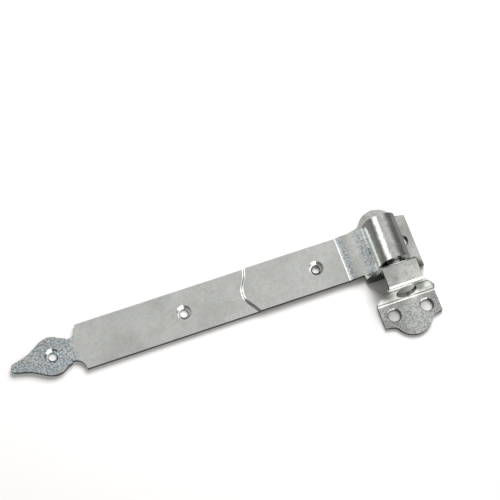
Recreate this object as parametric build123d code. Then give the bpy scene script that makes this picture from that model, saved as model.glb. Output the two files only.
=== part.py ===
from build123d import *
import math
import os

os.makedirs("parts", exist_ok=True)

# Strap hinge with a plate pintle bracket, zinc-plated steel.
# Frame: the strap and the bracket lie flat on the plane z = 0, which is the face of the
# gate and of its post. +Z points away from that face, the pin axis runs along Y at x = 0,
# the strap reaches along -X to its spear tip, and the bracket's foot lies towards -Y.

# ---------------------------------------------------------------- driving dimensions (mm)
# strap
STRAP_W = 35.0          # width
STRAP_T = 4.0           # thickness
# cross-section of the S-shaped pressed step: (slope in degrees, length along the slope)
STEP_PROFILE = [(10, 0.35), (24, 0.75), (52, 0.95), (24, 0.75), (10, 0.35)]
STEP_H = sum(l * math.sin(math.radians(a)) for a, l in STEP_PROFILE)   # height of the step, about 1.4
STEP_END_X = -95.0      # past the step, where the raised part is plain
TIP_X = -292.0          # end of the spear
HOLE_X = (-260.5, -159.3, -55.5)   # screw holes: spear, middle, eye end
HOLE_R = 3.25           # through radius of the strap's screw holes
CSK_R = 5.6             # countersink radius at the surface
JOG_X = -34.9           # where the strap starts to rise over the base plate
# the rise: a sharp crease, then a slope that dies away (slope in degrees, length along X); it ends level over the base plate
JOG_PROFILE = [(24, 0.75), (12.5, 3.6), (8.5, 4.0), (4.0, 4.0)]
FREE_END_A = 170.0      # angle at which the roll straightens into its free end, in degrees
EYE_CLEAR = 0.5         # gap between the strap's end and the base plate
# eye and pin
PIN_R = 8.0
PIN_FIT = 0.05          # radial running clearance
PIN_OVER = 1.6          # how far the pin stands out past the eye
SHOULDER_Y = -16.9      # the full diameter starts here, just inside the eye; a neck leads from it to the shelf
SPIGOT_R = 5.5          # reduced end of the pin, riveted in the shelf
# bracket
PLATE_T = 3.0
PLATE_W = 45.0          # width of the base plate and of the foot
BRIDGE_W = 26.5         # width of the bridge between them
BRIDGE_TOP = 25.0       # height of the bridge's top face
BASE_FAR_Y = 19.3       # corners of the base plate
SHELF_Y = -20.4         # face of the shelf that looks at the eye
RAMP_TOP_Y = -38.6      # outer bend from the bridge to the ramp
RAMP_FOOT_Y = -43.4     # inner bend from the ramp to the foot, on the top face
FOOT_Y = -60.4          # corners of the foot
TONGUE = 11.3           # how far each round tongue stands out past the corners
TONGUE_R = 15.0
SCREW_DX = 25.6         # spacing of the two screw holes of the foot and of the base plate
FOOT_HOLE_Y = -52.9
BASE_HOLE_Y = 0.0
PLATE_HOLE_R = 4.6
ACCESS_R = 8.0          # round hole in the ramp, in line with the pin
ACCESS_Z = 13.6         # height of its centre
BEND_R = 1.5            # inner bend radius of the plate
FLARE = 0.62            # share of the ramp over which it widens from the bridge to the foot

RO = PIN_R + PIN_FIT + STRAP_T          # outer radius of the rolled eye
RI = PIN_R + PIN_FIT
EYE_Z0 = PLATE_T + EYE_CLEAR            # underside of the strap's end
AXIS_Z = EYE_Z0 + RO                    # height of the pin axis

def halfplane_box(x0, x1, y0, y1, z0, z1):
    return Box(x1 - x0, y1 - y0, z1 - z0, align=(Align.MIN, Align.MIN, Align.MIN)).moved(Location((x0, y0, z0)))


# ---------------------------------------------------------------- strap
# S-shaped edge of the pressed step, from the far edge to the near edge (x, y)
STEP_CURVE = [(-108.1, 18.4), (-108.7, 16.0), (-109.6, 12.6), (-111.2, 9.3), (-112.9, 6.4), (-114.2, 3.4), (-114.9, 0.0),
              (-115.0, -3.2), (-114.3, -6.2), (-112.9, -9.0), (-110.9, -12.0), (-108.7, -15.2), (-106.9, -18.4)]

def step_region(offset):
    # plan region to the right of the S-shaped edge, which is moved sideways by offset
    pts = [Vector(x, y) for x, y in STEP_CURVE]
    pts = [pts[0] + (pts[0] - pts[1]) * 2.4] + pts + [pts[-1] + (pts[-1] - pts[-2]) * 1.6]
    moved = []
    for i, p in enumerate(pts):
        d = (pts[min(i + 1, len(pts) - 1)] - pts[max(i - 1, 0)]).normalized()
        moved.append((p.X - d.Y * offset, p.Y + d.X * offset))
    first, last = moved[0], moved[-1]
    c1, c2 = (STEP_END_X, last[1]), (STEP_END_X, first[1])
    return make_face(Wire([Spline(*moved), Line(last, c1), Line(c1, c2), Line(c2, first)]))

def step_stack():
    # the step's rise above the level it starts from, as thin sloping layers
    stack, u, z = None, 0.0, 0.0
    for angle, length in STEP_PROFILE:
        u1, z1 = u + length * math.cos(math.radians(angle)), z + length * math.sin(math.radians(angle))
        layer = loft([step_region(u).moved(Location((0, 0, z))), step_region(u1).moved(Location((0, 0, z1)))], ruled=True)
        stack = layer if stack is None else stack + layer
        u, z = u1, z1
    return stack

# half outline of the spear: distance from the tip, half width
SPEAR = [(0.8, 1.9), (3.4, 3.5), (7.0, 4.5), (11.6, 5.7), (16.0, 7.6), (20.0, 9.9), (24.0, 12.4), (28.2, 14.1),
         (32.5, 14.5), (37.0, 13.3), (41.3, 10.8), (44.2, 9.3)]

def spear_outline():
    # plan outline of the whole strap: spear, necks, quarter-round shoulders, straight sides
    w = STRAP_W / 2
    up = [(TIP_X + dx, y) for dx, y in SPEAR]
    neck = (TIP_X + 46.9, 8.7)
    sh = (TIP_X + 53.2, w)
    mid = (TIP_X + 51.6, 12.0)
    lines = []
    lines.append(Spline(*up, neck, tangents=[(0.3, 1.0), (1.0, 0.1)]))
    lines.append(ThreePointArc(neck, mid, sh))
    lines.append(Line(sh, (60, w)))
    lines.append(Line((60, w), (60, -w)))
    lines.append(Line((60, -w), (sh[0], -w)))
    lines.append(ThreePointArc((sh[0], -w), (mid[0], -mid[1]), (neck[0], -neck[1])))
    low = [(x, -y) for x, y in up]
    lines.append(Spline(*low, (neck[0], -neck[1]), tangents=[(0.3, -1.0), (1.0, -0.1)]))
    lines.append(ThreePointArc(low[0], (TIP_X, 0), up[0]))
    return make_face(Wire(lines))

def strap_part():
    w = STRAP_W / 2
    t = STRAP_T
    z1 = STEP_H
    # spear end, flat on the gate, and the pressed step
    stack = step_stack()
    flat = halfplane_box(-340, STEP_END_X, -30, 30, 0, t) + stack.moved(Location((0, 0, t))) - stack
    # raised part: flat, the rise, the flat end under the pin
    low = [(STEP_END_X, z1), (JOG_X, z1)]
    rises = [length * math.tan(math.radians(angle)) for angle, length in JOG_PROFILE]
    share = (EYE_Z0 - z1) / sum(rises)
    for (angle, length), dz in zip(JOG_PROFILE, rises):
        low.append((low[-1][0] + length, low[-1][1] + dz * share))
    low.append((0, EYE_Z0))
    prof = Polyline(*low, *[(x, z + t) for x, z in reversed(low)], close=True)
    band = make_face(prof)
    # rolled eye: an annulus, whose free end runs straight down to the strap
    a0 = math.radians(FREE_END_A)
    ux, uz = -math.sin(a0), math.cos(a0)
    z_end = EYE_Z0 + t + 0.45
    ring = Circle(RO).face() - Circle(RI).face()
    ring = ring.moved(Location((0, AXIS_Z)))
    k = (AXIS_Z + RO * math.sin(a0) - z_end) / -uz
    k2 = (AXIS_Z + RI * math.sin(a0) - z_end) / -uz
    po = (RO * math.cos(a0), AXIS_Z + RO * math.sin(a0))
    pi_ = (RI * math.cos(a0), AXIS_Z + RI * math.sin(a0))
    tail = make_face(Polyline(po, (po[0] + k * ux, po[1] + k * uz), (pi_[0] + k2 * ux, pi_[1] + k2 * uz), pi_, close=True))
    # the quarter of the annulus between the free end and the strap is open
    cut = make_face(Polyline((0, EYE_Z0 + t), (0, AXIS_Z), (-2.0 * RO * math.cos(math.pi - a0), AXIS_Z + 2.0 * RO * math.sin(math.pi - a0)),
                             (-3 * RO, EYE_Z0 + t), close=True))
    ring = ring - cut
    section = band + ring + tail
    bore = Circle(RI).face().moved(Location((0, AXIS_Z)))
    section = section - bore
    plane = Plane(origin=(0, w + 1, 0), x_dir=(1, 0, 0), z_dir=(0, -1, 0))
    raised = extrude(plane * section, STRAP_W + 2)
    mask = extrude(spear_outline(), 60).moved(Location((0, 0, -10)))
    body = (flat + raised) & mask
    for i, x in enumerate(HOLE_X):
        top = t + (STEP_H if i == 2 else 0)
        body -= Cylinder(HOLE_R, 20).moved(Location((x, 0, 0)))
        body -= Cone(HOLE_R * 0.2, CSK_R + 0.4, CSK_R + 0.4 - HOLE_R * 0.2).moved(
            Location((x, 0, top + 0.4 - (CSK_R + 0.4 - HOLE_R * 0.2) / 2)))
    return body


# ---------------------------------------------------------------- bracket
def plate_end(y_corner, sign, y_other):
    # plan outline of one end of the folded plate: square corners, hollow flanks, round tongue
    w = PLATE_W / 2
    yt = y_corner + sign * TONGUE
    cy = yt - sign * TONGUE_R
    # concave fillets lead from the corner line into the tongue's arc
    ang = math.radians(28)
    tx, ty = TONGUE_R * math.cos(ang), cy + sign * TONGUE_R * math.sin(ang)
    mx, my = (w + tx) / 2 - 0.6, y_corner + sign * (abs(ty - y_corner) * 0.28)
    l1 = Line((-w, y_other), (w, y_other))
    l2 = Line((w, y_other), (w, y_corner))
    l3 = Spline((w, y_corner), (mx, my), (tx, ty), tangents=[(-1, sign * 0.12), (-math.sin(ang), sign * math.cos(ang))])
    l4 = ThreePointArc((tx, ty), (0, yt), (-tx, ty))
    l5 = Spline((-tx, ty), (-mx, my), (-w, y_corner), tangents=[(-math.sin(ang), -sign * math.cos(ang)), (-1, -sign * 0.12)])
    l6 = Line((-w, y_corner), (-w, y_other))
    return make_face(Wire([l1, l2, l3, l4, l5, l6]))

def bracket_part():
    t, r = PLATE_T, BEND_R
    h = BRIDGE_TOP
    y_a = SHELF_Y                 # face of the shelf on the eye's side
    y_b = SHELF_Y - t             # its other face
    # centre path of the folded plate from the far tongue to the foot's tongue
    far = BASE_FAR_Y + TONGUE
    near = FOOT_Y - TONGUE
    dy, dz = RAMP_TOP_Y - RAMP_FOOT_Y, h - t
    ang = math.atan2(dz, dy)                       # slope of the ramp
    off = t * math.tan(ang / 2)
    # outer polygon (upper faces) and inner polygon (lower faces), then bend radii
    upper = [(far, t), (y_a, t), (y_a, h), (RAMP_TOP_Y, h), (RAMP_FOOT_Y, t), (near, t)]
    lower = [(near, 0), (RAMP_FOOT_Y + off, 0), (RAMP_TOP_Y + off, h - t), (y_b, h - t), (y_b, 0), (far, 0)]
    f = make_face(Polyline(*upper, *lower, close=True))
    def at(y, z):
        return sorted(f.vertices(), key=lambda v: (v.X - y) ** 2 + (v.Y - z) ** 2)[0]
    inner = [at(y_a, t), at(y_b, h - t), at(RAMP_TOP_Y + off, h - t), at(RAMP_FOOT_Y, t)]
    outer = [at(y_a, h), at(y_b, 0), at(RAMP_TOP_Y, h), at(RAMP_FOOT_Y + off, 0)]
    f = fillet(inner, r * 0.6)
    f = fillet([sorted(f.vertices(), key=lambda v: (v.X - p[0]) ** 2 + (v.Y - p[1]) ** 2)[0]
                for p in ((y_a, h), (y_b, 0), (RAMP_TOP_Y, h), (RAMP_FOOT_Y + off, 0))], r * 0.6 + 1.4)
    plane = Plane(origin=(-PLATE_W / 2 - 1, 0, 0), x_dir=(0, 1, 0), z_dir=(1, 0, 0))
    folded = extrude(plane * f, PLATE_W + 2)
    w, bw = PLATE_W / 2, BRIDGE_W / 2
    # base plate
    base = folded & extrude(plate_end(BASE_FAR_Y, 1, y_b + 0.01), t).moved(Location((0, 0, 0)))
    # shelf, narrowing towards the bridge
    trap = make_face(Polyline((-w, 0), (w, 0), (w, t * 0.9), (bw, h - 1.2), (bw, h + 1), (-bw, h + 1), (-bw, h - 1.2), (-w, t * 0.9), close=True))
    tp = Plane(origin=(0, y_a + 2.2, 0), x_dir=(1, 0, 0), z_dir=(0, -1, 0))
    shelf = folded & extrude(tp * trap, 2.2 + t + 3.0)
    # bridge
    y_s = y_b - 2.9
    bridge = folded & halfplane_box(-bw, bw, RAMP_TOP_Y + off * 0.2, y_s + 0.5, -1, h + 1)
    # ramp and foot
    y_r0, y_r1 = RAMP_TOP_Y + off * 0.2 + 0.01, RAMP_FOOT_Y - 0.5
    y_f = RAMP_TOP_Y + FLARE * (RAMP_FOOT_Y - RAMP_TOP_Y)
    right = [(bw, y_r0), (bw, RAMP_TOP_Y + 0.1), (bw + 0.72 * (w - bw), RAMP_TOP_Y + 0.72 * (y_f - RAMP_TOP_Y)), (w - 0.6, y_f), (w, y_f - 0.5), (w, y_r1)]
    rp = make_face(Polyline(*right, *[(-x, y) for x, y in reversed(right)], close=True))
    ramp = folded & extrude(rp, h + 5).moved(Location((0, 0, -1)))
    foot = folded & extrude(plate_end(FOOT_Y, -1, y_r1 + 0.01), t + 3)
    part = base + shelf + bridge + ramp + foot
    # screw holes, with rolled-in rims
    for x in (-SCREW_DX / 2, SCREW_DX / 2):
        for y in (FOOT_HOLE_Y, BASE_HOLE_Y):
            part -= Cylinder(PLATE_HOLE_R, 20).moved(Location((x, y, 0)))
            part -= Cone(PLATE_HOLE_R - 0.8, PLATE_HOLE_R + 1.0, 1.8).moved(Location((x, y, t - 0.9 + 0.2)))
    # round access hole in the ramp, in line with the pin
    part -= Cylinder(ACCESS_R, 14).rotate(Axis.X, 90).moved(Location((0, (RAMP_TOP_Y + RAMP_FOOT_Y) / 2 + 1.5, ACCESS_Z)))
    # hole for the pin's riveted end
    part -= Cylinder(SPIGOT_R, 2 * t).rotate(Axis.X, 90).moved(Location((0, y_a - t / 2, AXIS_Z)))
    return part


# ---------------------------------------------------------------- pin and weld
def pin_part():
    y0 = SHELF_Y
    y1 = STRAP_W / 2 + PIN_OVER
    rod = Cylinder(PIN_R, y1 - SHOULDER_Y).rotate(Axis.X, 90).moved(Location((0, (SHOULDER_Y + y1) / 2, AXIS_Z)))
    rod = chamfer(rod.edges().filter_by(GeomType.CIRCLE).sort_by(Axis.Y)[-1], 1.3)
    y2 = y0 - PLATE_T - 0.9
    spigot = Cylinder(SPIGOT_R, SHOULDER_Y - y2).rotate(Axis.X, 90).moved(
        Location((0, (SHOULDER_Y + y2) / 2, AXIS_Z)))
    # hammered end of the rivet
    spigot = chamfer(spigot.edges().filter_by(GeomType.CIRCLE).sort_by(Axis.Y)[0], 0.6)
    return rod + spigot

def weld_part(strap):
    # three overlapping drops of weld along the seam of the eye
    x0 = -(RO + 1.05)
    z0 = EYE_Z0 + STRAP_T
    drops = None
    for y, rx, ry, rz in ((-1.2, 2.1, 3.6, 1.9), (-5.6, 1.6, 3.2, 1.5), (-10.2, 1.5, 3.4, 1.3)):
        d = Sphere(1.0)
        d = scale(d, (rx, ry, rz)).moved(Location((x0 + 0.35 * rx, y, z0 + 0.25)))
        drops = d if drops is None else drops + d
    return drops - strap


strap = strap_part()
bracket = bracket_part()
pin = pin_part()
weld = weld_part(strap)

export_step(strap, "parts/strap.step")
export_step(bracket, "parts/bracket.step")
export_step(pin, "parts/pin.step")
export_step(weld, "parts/eye_weld.step")
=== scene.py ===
import math

import bpy
from mathutils import Matrix, Vector

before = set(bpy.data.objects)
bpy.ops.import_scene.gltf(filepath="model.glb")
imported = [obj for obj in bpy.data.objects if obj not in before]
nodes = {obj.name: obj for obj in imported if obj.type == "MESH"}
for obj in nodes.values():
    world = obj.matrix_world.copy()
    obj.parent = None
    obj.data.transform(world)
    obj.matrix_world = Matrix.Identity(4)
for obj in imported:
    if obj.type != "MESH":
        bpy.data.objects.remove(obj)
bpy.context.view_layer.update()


# ---------------------------------------------------------------- node helpers
class Net:
    """Short names for the shader nodes used below."""

    def __init__(self, tree):
        self.t = tree
        self.n = tree.nodes
        self.l = tree.links

    def new(self, kind, **props):
        node = self.n.new(kind)
        for k, v in props.items():
            setattr(node, k, v)
        return node

    def put(self, socket, value):
        if isinstance(value, bpy.types.NodeSocket):
            self.l.new(value, socket)
        else:
            socket.default_value = value

    def math(self, op, a, b=0.0, c=0.0, clamp=False):
        m = self.new("ShaderNodeMath", operation=op, use_clamp=clamp)
        self.put(m.inputs[0], a)
        self.put(m.inputs[1], b)
        self.put(m.inputs[2], c)
        return m.outputs[0]

    def ramp_to(self, value, a, b, lo=0.0, hi=1.0, kind="SMOOTHSTEP"):
        m = self.new("ShaderNodeMapRange", interpolation_type=kind, clamp=True)
        self.put(m.inputs["Value"], value)
        self.put(m.inputs["From Min"], a)
        self.put(m.inputs["From Max"], b)
        self.put(m.inputs["To Min"], lo)
        self.put(m.inputs["To Max"], hi)
        return m.outputs["Result"]

    def noise(self, vector, scale, detail=3.0, rough=0.55, distort=0.0, stretch=None, turn=0.0):
        if stretch is not None or turn:
            m = self.new("ShaderNodeMapping")
            m.inputs["Rotation"].default_value = (0, 0, turn)
            m.inputs["Scale"].default_value = stretch or (1, 1, 1)
            self.put(m.inputs["Vector"], vector)
            vector = m.outputs[0]
        n = self.new("ShaderNodeTexNoise")
        self.put(n.inputs["Vector"], vector)
        n.inputs["Scale"].default_value = scale
        n.inputs["Detail"].default_value = detail
        n.inputs["Roughness"].default_value = rough
        n.inputs["Distortion"].default_value = distort
        return n.outputs[0]

    def mix(self, fac, a, b):
        m = self.new("ShaderNodeMix", data_type="RGBA")
        self.put(m.inputs["Factor"], fac)
        self.put(m.inputs[6], a)
        self.put(m.inputs[7], b)
        return m.outputs[2]

    def bump(self, height, distance, strength=1.0, normal=None):
        b = self.new("ShaderNodeBump")
        b.inputs["Strength"].default_value = strength
        b.inputs["Distance"].default_value = distance
        self.put(b.inputs["Height"], height)
        if normal is not None:
            self.put(b.inputs["Normal"], normal)
        return b.outputs[0]


def rgba(r, g, b):
    return (r, g, b, 1.0)


# ------------------------------------------------------------------- materials
def zinc(
    name,
    base,
    blue,
    rough=0.30,
    mottle=0.5,
    speck=0.4,
    scratch=0.4,
    grain=1.0,
    areas=(),
    edge=False,
    wave=1.0,
    cloudy=0.05,
    dull=(),
    ribs=None,
    clean=(),
    painted_dark_lines=(),
):
    """Zinc-plated steel. areas are (axis, from, to, amount): bands of the part where the plating is bluer and more
    mottled.
    ribs is (x from, height): beyond that x the metal keeps the small waves of rolling.
    clean are (axis, from, to): bands rubbed free of mottling.
    creases are (axis, at, half width): thin dark lines beside a bend, painted shade that stands for the dark
    reflections there."""
    mat = bpy.data.materials.new(name)
    mat.use_nodes = True
    net = Net(mat.node_tree)
    bsdf = net.n["Principled BSDF"]
    co = net.new("ShaderNodeTexCoord").outputs["Object"]
    xyz = net.new("ShaderNodeSeparateXYZ")
    net.put(xyz.inputs[0], co)
    axis = {"x": xyz.outputs[0], "y": xyz.outputs[1], "z": xyz.outputs[2]}

    big = net.noise(co, 38, 2.0, 0.5, 0.4)
    mid = net.noise(co, 170, 4.0, 0.6, 0.6)
    small = net.noise(co, 720, 3.0, 0.62)
    fine = net.noise(co, 2600, 2.0, 0.6)
    spang = net.new("ShaderNodeTexVoronoi", feature="F1")
    net.put(spang.inputs["Vector"], co)
    spang.inputs["Scale"].default_value = 520
    cell = net.new("ShaderNodeSeparateXYZ")
    net.put(cell.inputs[0], spang.outputs["Color"])

    patch = net.math("MULTIPLY", net.ramp_to(mid, 0.42, 0.66), mottle)
    grit = None
    for ax, a, b, amount in areas:
        up = net.ramp_to(axis[ax], a - 0.003, a + 0.003)
        down = net.ramp_to(axis[ax], b - 0.005, b + 0.005, 1.0, 0.0)
        band = net.math("MULTIPLY", up, down)
        flecks = net.ramp_to(
            net.math("ADD", net.math("MULTIPLY", small, 0.6), net.math("MULTIPLY", mid, 0.5)),
            0.44,
            0.62,
            0.15,
            1.0,
        )
        patch = net.math("MAXIMUM", patch, net.math("MULTIPLY", net.math("MULTIPLY", band, flecks), amount))
        band = net.math("MULTIPLY", band, amount)
        grit = band if grit is None else net.math("MAXIMUM", grit, band)

    for ax, a, b in clean:
        band = net.math("MULTIPLY", net.ramp_to(axis[ax], a - 0.0006, a + 0.0006), net.ramp_to(axis[ax], b - 0.0006, b + 0.0006, 1.0, 0.0))
        patch = net.math("MULTIPLY", patch, net.math("SUBTRACT", 1.0, band))

    col = net.mix(patch, rgba(*base), rgba(*blue))
    # broad cloudiness of the plating bath
    cloud = net.ramp_to(net.math("ADD", net.math("MULTIPLY", big, 0.5), net.math("MULTIPLY", mid, 0.5)), 0.36, 0.60, 1.0 - cloudy * 1.6, 1.0 + cloudy, "SMOOTHSTEP")
    crystal = net.math("ADD", 1.0 - 0.035 * grain, net.math("MULTIPLY", cell.outputs[0], 0.07 * grain))
    tone = net.math("MULTIPLY", cloud, crystal)
    # darker pits and lighter specks
    pits = net.ramp_to(small, 0.60, 0.74, 1.0, 1.0 - 0.35 * speck)
    shine = net.ramp_to(net.noise(co, 980, 2.0, 0.5, 0.3), 0.66, 0.76, 1.0, 1.0 + 0.22 * speck)
    tone = net.math("MULTIPLY", net.math("MULTIPLY", tone, pits), shine)
    if grit is not None:
        sand = net.ramp_to(small, 0.40, 0.60, -0.55, 0.58)
        tone = net.math("MULTIPLY", tone, net.math("ADD", 1.0, net.math("MULTIPLY", sand, grit)))
    # painted shade: thin dark lines darken the colour beside bends, standing for the dark reflections there
    for ax, at, half in painted_dark_lines:
        off = net.math("ABSOLUTE", net.math("SUBTRACT", axis[ax], at))
        tone = net.math("MULTIPLY", tone, net.ramp_to(off, half * 0.6, half * 1.5, 0.42, 1.0))
    # handling scratches in three directions
    lines = None
    for turn, sc, at in ((0.35, 90, 0.70), (-0.9, 75, 0.71), (1.45, 110, 0.72)):
        s = net.noise(co, sc, 2.0, 0.5, 0.0, (0.9, 26.0, 1.0), turn)
        s = net.ramp_to(s, at, at + 0.035)
        lines = s if lines is None else net.math("MAXIMUM", lines, s)
    lines = net.math("MULTIPLY", lines, net.ramp_to(big, 0.45, 0.6))
    tone = net.math("MULTIPLY", tone, net.math("ADD", 1.0, net.math("MULTIPLY", lines, 0.22 * scratch)))
    if edge:
        # worn edges: bare bright metal where rubbed, dull plating elsewhere
        rub = net.ramp_to(net.noise(co, 210, 4.0, 0.65, 0.4), 0.40, 0.60)
        tone = net.math("MULTIPLY", tone, net.math("ADD", 0.86, net.math("MULTIPLY", rub, 0.30)))
    scale = net.new("ShaderNodeVectorMath", operation="SCALE")
    net.put(scale.inputs[0], col)
    net.put(scale.inputs["Scale"], tone)
    net.put(bsdf.inputs["Base Color"], scale.outputs[0])

    rr = net.math("ADD", rough - 0.09, net.math("MULTIPLY", mid, 0.14))
    rr = net.math("ADD", rr, net.math("MULTIPLY", fine, 0.06))
    rr = net.math("SUBTRACT", rr, net.math("MULTIPLY", patch, 0.04))
    rr = net.math("SUBTRACT", rr, net.math("MULTIPLY", lines, 0.05))
    if edge:
        rr = net.math("SUBTRACT", rr, net.math("MULTIPLY", rub, 0.08))
    for ax, a, b, amount in dull:
        band = net.math("MULTIPLY", net.ramp_to(axis[ax], a - 0.0008, a + 0.0008), net.ramp_to(axis[ax], b - 0.0008, b + 0.0008, 1.0, 0.0))
        rr = net.math("ADD", rr, net.math("MULTIPLY", band, amount))
    net.put(bsdf.inputs["Roughness"], net.math("MAXIMUM", rr, 0.06))
    bsdf.inputs["Metallic"].default_value = 1.0

    nrm = net.bump(net.noise(co, 75, 2.0, 0.5), 0.00022 * wave)
    if ribs is not None:
        x0, depth = ribs
        waves = net.noise(co, 620, 2.0, 0.55, 0.0, (0.45, 1.35, 0.45))
        nrm = net.bump(net.math("MULTIPLY", waves, net.ramp_to(axis["x"], x0 - 0.001, x0 + 0.001)), depth, 1.0, nrm)
    nrm = net.bump(patch, 0.000012, 1.0, nrm)
    nrm = net.bump(small, 0.00003 * grain, 1.0, nrm)
    nrm = net.bump(fine, 0.000010 * grain, 1.0, nrm)
    nrm = net.bump(lines, 0.000012 * scratch, 1.0, nrm)
    net.put(bsdf.inputs["Normal"], nrm)
    return mat


WARM = (0.790, 0.800, 0.760)
BLUE = (0.430, 0.505, 0.565)

mats = {
    "strap": dict(
        base=WARM,
        blue=BLUE,
        rough=0.20,
        mottle=0.20,
        speck=0.45,
        scratch=0.7,
        cloudy=0.07,
        grain=1.3,
        areas=(("x", -0.300, -0.243, 0.82), ("x", -0.0335, -0.0285, 0.85), ("x", -0.0200, -0.0140, 0.85)),
        dull=(("x", -0.0215, -0.0132, 0.08),),
        ribs=(-0.0140, 0.00027),
        # painted shade: a darker band on the wall that rises into the eye
        painted_dark_lines=(("z", 0.0128, 0.0026),),
    ),
    "bracket": dict(
        base=(0.755, 0.765, 0.725),
        blue=(0.430, 0.460, 0.450),
        rough=0.17,
        mottle=0.75,
        speck=0.8,
        scratch=0.45,
        cloudy=0.21,
        dull=(("y", -0.0440, -0.0392, 0.13),),
        wave=0.4,
        # painted shade: two thin dark lines beside the ramp's bends
        painted_dark_lines=(("y", -0.0398, 0.00026), ("y", -0.0430, 0.00024)),
        areas=(("y", -0.075, -0.0460, 0.66),),
        clean=(("y", -0.0450, -0.0335),),
    ),
    # the pin's dark base colour is painted shade: it stands for the shade in the gap below the eye
    "pin": dict(base=(0.36, 0.365, 0.35), blue=(0.25, 0.27, 0.28), rough=0.30, mottle=0.4, speck=0.3, scratch=0.9),
    "eye_weld": dict(base=(0.66, 0.70, 0.73), blue=(0.46, 0.50, 0.55), rough=0.24, mottle=0.8, speck=0.8, scratch=0.0, grain=1.6),
}
BEVEL = {"strap": 0.00035, "bracket": 0.00040, "pin": 0.00030, "eye_weld": 0.0}

for name, obj in nodes.items():
    face = zinc(name + "_zinc_face", **mats[name])
    worn = dict(mats[name])
    worn["base"] = tuple(min(0.9, c * 1.06) for c in worn["base"])
    worn["rough"] = worn["rough"] - 0.03
    rim = zinc(name + "_zinc_edge", edge=True, **worn)
    obj.data.materials.clear()
    obj.data.materials.append(face)
    obj.data.materials.append(rim)
    weld = obj.modifiers.new("join", "WELD")
    weld.merge_threshold = 1e-6
    if BEVEL[name]:
        bev = obj.modifiers.new("broken edges", "BEVEL")
        bev.limit_method = "ANGLE"
        bev.angle_limit = math.radians(20 if name == "strap" else 32)
        bev.width = BEVEL[name]
        bev.segments = 2
        bev.use_clamp_overlap = True
        bev.miter_outer = "MITER_SHARP"
        bev.material = 1
        bev.harden_normals = False
    wn = obj.modifiers.new("flat faces stay flat", "WEIGHTED_NORMAL")
    wn.mode = "FACE_AREA"
    wn.weight = 80
    wn.keep_sharp = False
    for p in obj.data.polygons:
        p.use_smooth = True


# ----------------------------------------------------------------------- stage
def plain_floor():
    mesh = bpy.data.meshes.new("floor")
    s = 2.5
    z = -0.00005
    mesh.from_pydata([(-s, -s, z), (s, -s, z), (s, s, z), (-s, s, z)], [], [(0, 1, 2, 3)])
    floor = bpy.data.objects.new("floor", mesh)
    bpy.context.scene.collection.objects.link(floor)
    mat = bpy.data.materials.new("white_table")
    mat.use_nodes = True
    net = Net(mat.node_tree)
    bsdf = net.n["Principled BSDF"]
    co = net.new("ShaderNodeTexCoord").outputs["Object"]
    soft = net.noise(co, 9, 2.0)
    net.put(bsdf.inputs["Base Color"], net.mix(soft, rgba(0.372, 0.366, 0.364), rgba(0.384, 0.379, 0.377)))
    bsdf.inputs["Roughness"].default_value = 0.85
    bsdf.inputs["Specular IOR Level"].default_value = 0.15
    dim = net.new("ShaderNodeBsdfDiffuse")
    net.put(dim.inputs["Color"], rgba(0.078, 0.078, 0.076))
    both = net.new("ShaderNodeMixShader")
    net.put(both.inputs[0], net.new("ShaderNodeLightPath").outputs["Is Camera Ray"])
    net.l.new(dim.outputs[0], both.inputs[1])
    net.l.new(bsdf.outputs[0], both.inputs[2])
    net.l.new(both.outputs[0], net.n["Material Output"].inputs["Surface"])
    mesh.materials.append(mat)
    return floor


floor = plain_floor()


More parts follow.
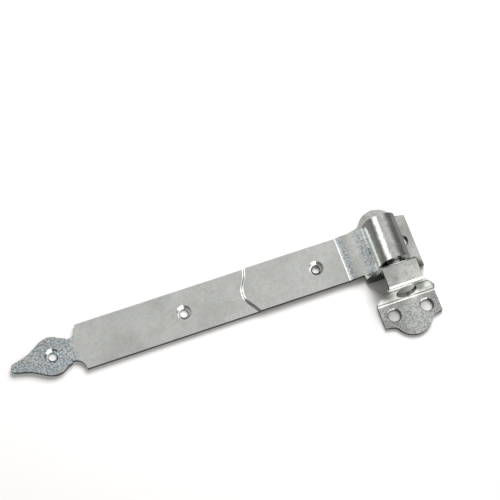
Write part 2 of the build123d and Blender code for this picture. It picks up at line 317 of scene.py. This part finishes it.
def studio_world():
    """A soft studio all round: each part of the sky is set by its direction in the room."""
    world = bpy.data.worlds.new("studio")
    bpy.context.scene.world = world
    world.use_nodes = True
    net = Net(world.node_tree)
    net.n.clear()
    d = net.new("ShaderNodeTexCoord").outputs["Generated"]
    xyz = net.new("ShaderNodeSeparateXYZ")
    net.put(xyz.inputs[0], d)
    x, y, z = xyz.outputs
    # angle from straight up, towards +X, in degrees
    phi = net.math("MULTIPLY", net.math("ARCTAN2", x, z), 180 / math.pi)
    profile = [
        (-180, 0.25),
        (-88, 0.22),
        (-76, 0.16),
        (-66, 0.22),
        (-57, 0.60),
        (-50, 1.50),
        (-43, 2.10),
        (-30, 2.10),
        (-22, 0.95),
        (-15, 0.54),
        (-5, 0.56),
        (8, 0.64),
        (20, 0.70),
        (30, 0.57),
        (40, 0.35),
        (50, 0.19),
        (62, 0.13),
        (88, 0.13),
        (180, 0.20),
    ]
    curve = net.new("ShaderNodeFloatCurve")
    c = curve.mapping.curves[0]
    top = 4.0
    pts = [((a + 180) / 360, v / top) for a, v in profile]
    c.points[0].location = pts[0]
    c.points[1].location = pts[-1]
    for p in pts[1:-1]:
        c.points.new(*p)
    for p in c.points:
        p.handle_type = "AUTO_CLAMPED"
    curve.mapping.update()
    net.put(curve.inputs["Value"], net.math("DIVIDE", net.math("ADD", phi, 180.0), 360.0))
    band = net.math("MULTIPLY", curve.outputs[0], top)

    # the key softbox on the left ends just in front of the object; the room beyond it is dark
    left = net.ramp_to(phi, -8.0, -18.0)
    ends = net.math("MULTIPLY", left, net.ramp_to(y, 0.14, 0.0))
    band = net.math("ADD", band, net.math("MULTIPLY", ends, net.math("SUBTRACT", 0.07, band)))

    # behind the object the room is dim; in front of it stands one wide, high softbox
    rear = net.ramp_to(y, 0.42, 0.72)
    level = net.math("ADD", net.math("MULTIPLY", band, net.math("SUBTRACT", 1.0, rear)), net.math("MULTIPLY", rear, REAR))
    front = net.ramp_to(y, -0.10, -0.34)
    side = net.math("MULTIPLY", net.ramp_to(x, -0.34, -0.12, 0.04, 1.0), net.ramp_to(x, 0.72, 0.90, 1.0, 0.12))
    front = net.math("MULTIPLY", front, side)
    level = net.math("ADD", level, net.math("MULTIPLY", front, net.math("SUBTRACT", FRONT, level)))

    cam = net.new("ShaderNodeLightPath").outputs["Is Camera Ray"]
    bg = net.new("ShaderNodeBackground")
    net.put(bg.inputs["Color"], rgba(1.0, 0.997, 0.99))
    net.put(bg.inputs["Strength"], level)
    pale = net.new("ShaderNodeBackground")
    net.put(pale.inputs["Color"], rgba(0.93, 0.93, 0.93))
    mix = net.new("ShaderNodeMixShader")
    net.put(mix.inputs[0], cam)
    net.l.new(bg.outputs[0], mix.inputs[1])
    net.l.new(pale.outputs[0], mix.inputs[2])
    out = net.new("ShaderNodeOutputWorld")
    net.l.new(mix.outputs[0], out.inputs[0])
    world.cycles.sampling_method = "MANUAL"
    world.cycles.sample_map_resolution = 256


FRONT = 2.3
REAR = 0.20
studio_world()


def table_light():
    """A wide softbox behind and to the right that lights the table alone: it whitens the table and throws
    the soft shadow to the near side."""
    data = bpy.data.lights.new("table_softbox", "AREA")
    data.shape = "RECTANGLE"
    data.size = 0.95
    data.size_y = 0.75
    data.energy = TABLE_W
    data.color = (1.0, 0.995, 0.99)
    lamp = bpy.data.objects.new("table_softbox", data)
    bpy.context.scene.collection.objects.link(lamp)
    at = Vector((0.30, 0.62, 0.80))
    aim = Vector((-0.12, 0.0, 0.0))
    lamp.location = at
    lamp.rotation_euler = (aim - at).to_track_quat("-Z", "Y").to_euler()
    only = bpy.data.collections.new("table_only")
    only.objects.link(floor)
    lamp.light_linking.receiver_collection = only


TABLE_W = 45.0
table_light()


# ---------------------------------------------------------------------- camera
def camera():
    place = Vector((-0.210040, -0.295304, 0.975531))
    target = Vector((-0.096617, 0.031586, 0.0))
    fwd = (target - place).normalized()
    right = Vector((0.94475, -0.32780, 0.0)).normalized()
    up = right.cross(fwd)
    m = Matrix(
        (
            (right.x, up.x, -fwd.x, place.x),
            (right.y, up.y, -fwd.y, place.y),
            (right.z, up.z, -fwd.z, place.z),
            (0, 0, 0, 1),
        )
    )
    data = bpy.data.cameras.new("photo_view")
    data.sensor_width = 36.0
    data.lens = 98.865
    data.clip_start = 0.05
    data.clip_end = 20.0
    cam = bpy.data.objects.new("photo_view", data)
    bpy.context.scene.collection.objects.link(cam)
    cam.matrix_world = m
    bpy.context.scene.camera = cam


camera()

view = bpy.context.scene.view_settings
view.view_transform = "Standard"
view.look = "None"
view.exposure = 0.0
view.gamma = 1.0
